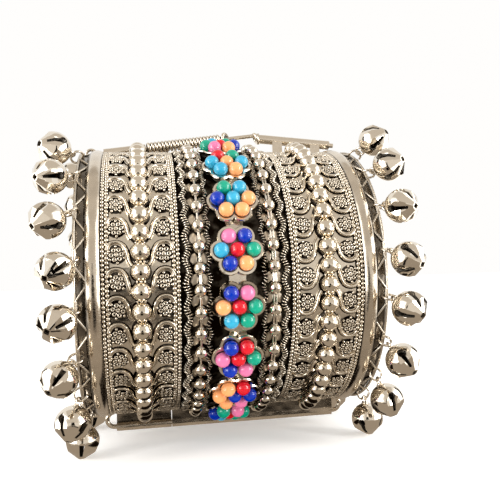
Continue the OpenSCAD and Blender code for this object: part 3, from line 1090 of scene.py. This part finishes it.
def makeBellCutters():
    # Four keyholes with the slots below them, and the square hole where the slots cross
    s = bellSizes
    r = s["radius"]
    cutters = []
    for k in range(4):
        deselectAll()
        bpy.ops.mesh.primitive_cylinder_add(vertices=16, radius=s["keyhole"] * mm, depth=3.2 * mm,
                                            location=(r * 0.9 * mm, 0, 0.02 * r * mm), rotation=(0, math.pi / 2, 0))
        bpy.ops.object.transform_apply(location=True, rotation=True, scale=True)
        hole = activeObject()
        slot = addBlock((1, 1, 1), (0, 0, 0))
        c = coordinates(slot)
        width = np.where(c[:, 2] > 0, s["slot"][1], s["slot"][0]) * np.sign(c[:, 1]) / 2
        c = np.column_stack([np.where(c[:, 0] > 0, 1.1, 0.1) * r, width, np.where(c[:, 2] > 0, s["slotEnd"], 0.02) * r])
        setCoordinates(slot, c * mm)
        for cutter in (hole, slot):
            cutter.data.transform(turn(90 * k, "Z"))
            cutters.append(cutter)
    foot = addBlock((2 * s["footHole"], 2 * s["footHole"], 1.6), (0, 0, r))
    foot.data.transform(turn(45, "Z"))
    return cutters + [foot]


def makeBell():
    s = bellSizes
    r = s["radius"]
    bell = addBall(r, 48, 24)
    p = coordinates(bell) / mm / r
    z = np.clip(p[:, 2], -1, 1)
    angle = np.degrees(np.arctan2(p[:, 1], p[:, 0]))
    slotAngle = np.round(angle / 90) * 90
    off = angle - slotAngle
    # The creases beside each slot form a long diamond: closed at its top, widest below, closed at the foot
    down = np.clip((z + 0.1) / 1.1, 0, 1)
    wide = 3 + (s["fold"] - 3) * np.sin(np.pi * np.clip(down * 1.15, 0, 0.5)) ** 0.8
    u = np.abs(off)
    v = np.where(u <= 22.5, u / 22.5 * wide, wide + (u - 22.5) / 22.5 * (45 - wide))
    angle = np.radians(slotAngle + np.sign(off) * v)
    dome = np.sqrt(np.maximum(1 - z ** 2, 0))
    petal = np.clip(s["foot"] + s["petal"] * (1 - z), s["foot"], 1.2)
    flat = petal / np.cos(np.radians(45 - np.maximum(v, wide)))
    body = np.where(z > 0, np.minimum(dome + 0.14 * np.clip(z, 0, 1) ** 3, flat), dome)
    body = body * (1 - s["valley"] * np.sin(np.pi * down) ** 0.7 * np.clip(1 - v / wide, 0, 1))
    body = np.where(z > 0.999, 0.0, body)
    setCoordinates(bell, np.column_stack([np.cos(angle) * body, np.sin(angle) * body, z]) * r * mm)
    outside = BVHTree.FromPolygons([v.co for v in bell.data.vertices], [tuple(f.vertices) for f in bell.data.polygons])
    wall = bell.modifiers.new("wall", "SOLIDIFY")
    wall.thickness = s["sheet"] * mm
    wall.offset = -1
    cutters = makeBellCutters()
    for cutter in cutters:
        cut = bell.modifiers.new("cut", "BOOLEAN")
        cut.operation = "DIFFERENCE"
        cut.solver = "EXACT"
        cut.object = cutter
    applyModifiers(bell)
    removeObjects(*cutters)
    smoothByAngle(bell, 24)
    # Painted shade: the inside of the bell is black
    depth = np.array([outside.find_nearest(v.co)[3] for v in bell.data.vertices]) / mm
    setTarnishAndShade(bell, np.clip(depth / 0.3, 0, 1))
    loop = setTarnishAndShade(addTorus(edgeSizes["loop"], edgeSizes["loopWire"]), 0.05)
    loop.data.transform(shift(0, 0, edgeSizes["loopAt"] - s["at"]) @ turn(90, "Y"))
    cap = setTarnishAndShade(addDisc(*s["cap"]), 0.1)
    cap.data.transform(shift(0, 0, -r - 0.18))
    return joinAll([bell, loop, cap], "bell")


masterBell = makeBell()
print("bell", len(masterBell.data.polygons))
for half in ("front", "back"):
    back = half == "back"
    for side, word in ((-1, "left"), (1, "right")):
        edging = makeEdging(f"{half}_{word}_zigzag_edging", side, back)
        finishPiece(edging, half + "_half", f"{half}_{word}_edging", finishes["drawnWire"])
        rings = makeJumpRings(f"{half}_{word}_bent_rings", side, back)
        finishPiece(rings, half + "_half", f"{half}_{word}_jump_rings", finishes["drawnWire"])
        # Each bell is turned its own way round the line it hangs on
        places = [hangPlace(e, side, back, bellSizes["at"], True) @ turn(random.uniform(0, 90), "Z")
                  for e in spread(edgeSizes["bells"], edgeSizes["step"])]
        bells = placedCopies(masterBell, places, f"{half}_{word}_folded_bells", keep=True)
        finishPiece(bells, half + "_half", f"{half}_{word}_bells", finishes["polishedSilver"])
removeObjects(masterBell)
print("edging and bells ready")


# Beads

beadSizes = {
    "diameter": 3.82,
    "lift": 0.1,
    # each flower from the top down: the middle bead, then the others from the right one round by the top
    "front": ("RBGTGKP", "PTGRTTP", "TPTGBPP", "RGBKTBP", "RGKBPTG", "RGRBKBK", "BBRPPPK", "RGKGBTG"),
    "back": ("BPRKGTP", "RTKGPBG", "PGBTKRT", "TKPBRGP", "KBGPTRB", "GRTKPBT", "RPBGKTP", "BTKRGPG"),
    "letters": {"blue": "B", "turquoise": "T", "green": "G", "red": "R", "peach": "P", "pink": "K"},
}


def makeBeads(name, back, letter):
    s, f = beadSizes, flowerSizes
    bead = setTarnishAndShade(addBall(s["diameter"] / 2, 28, 16), 0.0)
    height = f["cupRadius"] + f["floor"] + s["diameter"] / 2 + s["lift"]
    places = []
    for th, row in zip(spread(f["flowers"], f["step"]), s["back" if back else "front"]):
        for k in range(7):
            if row[k] == letter:
                place = cuffPlace(0, th, height, back) @ turn(60 * k - 60, "Z")
                place = place @ shift(f["petal"] if k else 0, 0, random.uniform(-0.06, 0.1))
                stretch = [random.uniform(0.955, 1.0) for axis in range(3)]
                places.append(place @ anyTurn((0.3, 0.5, 0.8)) @ Matrix.Diagonal(stretch + [1]))
    return placedCopies(bead, places, name)


for half in ("front", "back"):
    for colourName, letter in beadSizes["letters"].items():
        beads = makeBeads(f"{half}_{colourName}_glass_beads", half == "back", letter)
        finishPiece(beads, half + "_half", f"{half}_beads_{colourName}", finishes[colourName])
print("beads ready")


# Clasp coil

claspSizes = {
    "start": (-34.0, 0.0, 38.0),
    "slope": 6.8,
    "coilFrom": 13.7,
    "turns": 21,
    "pitch": 22.2 / 21,
    "coil": 1.28,
    "wire": 0.46,
    "core": (0.95, 25.0, 0.1, 20),
    "eyeAt": 37.8,
    "eye": 1.7,
    "eyeTurn": 38.0,  # degrees that the eye is turned to the front
    "saddles": ((-17.0, 39.8), (-4.0, 41.2)),  # where each begins along the cuff, and its top
    "saddleFoot": 36.36,
}


def onClasp(at):
    s = claspSizes
    return shift(*s["start"]) @ turn(90 - s["slope"], "Y") @ shift(0, 0, at)


def makeClaspCoil():
    s = claspSizes
    steps = 20
    path = []
    for k in range(s["turns"] * steps + 1):
        a = 2 * math.pi * k / steps
        path.append((s["coil"] * math.cos(a), s["coil"] * math.sin(a), k / steps * s["pitch"]))
    # The wire runs on past the last turn and is folded back into an eye
    length = s["turns"] * s["pitch"]
    path += [(0.95, 0.75, length + 0.5), (0.45, 0.75, length + 1.2), (0.1, 0.55, length + 1.9)]
    coil = wireAlong(path, s["wire"], "claspCoil", 8)
    # Painted shade: the wire is darker on its inner side
    p = coordinates(coil) / mm
    away = np.hypot(p[:, 0], p[:, 1])
    setTarnishAndShade(coil, np.clip((s["coil"] + 0.12 - away) / 0.3, 0, 0.9) * (p[:, 2] < length))
    coil.data.transform(onClasp(s["coilFrom"]))
    eye = setTarnishAndShade(addTorus(s["eye"], s["wire"] * 0.96, 32, 10), 0.03)
    eye.data.transform(onClasp(s["eyeAt"]) @ turn(s["eyeTurn"], "X"))
    # Painted shade: a dark core fills the coil
    core = setTarnishAndShade(addDisc(*s["core"]), 0.8)
    core.data.transform(onClasp(s["coilFrom"]))
    parts = [coil, eye, core]
    for x, top in s["saddles"]:
        block = addBlock((3.0, 0.9, top - s["saddleFoot"]), (x + 1.5, 0.85, (top + s["saddleFoot"]) / 2))
        bevelEdges(block, 0.25, 3)
        smoothByAngle(block, 40)
        parts.append(setTarnishAndShade(block, 0.25))
    return joinAll(parts, "clasp_wound_coil")


finishPiece(makeClaspCoil(), "back_half", "clasp_coil", finishes["satinSilver"])
print("clasp coil ready")

# The CAD shapes that stay as they are: curved plates, pins and clasp tubes
for name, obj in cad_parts.items():
    finish = "plate" if name.endswith("shell") else "drawnWire" if name.endswith("_pin") else "satinSilver"
    obj.data.materials.clear()
    obj.data.materials.append(finishes[finish])
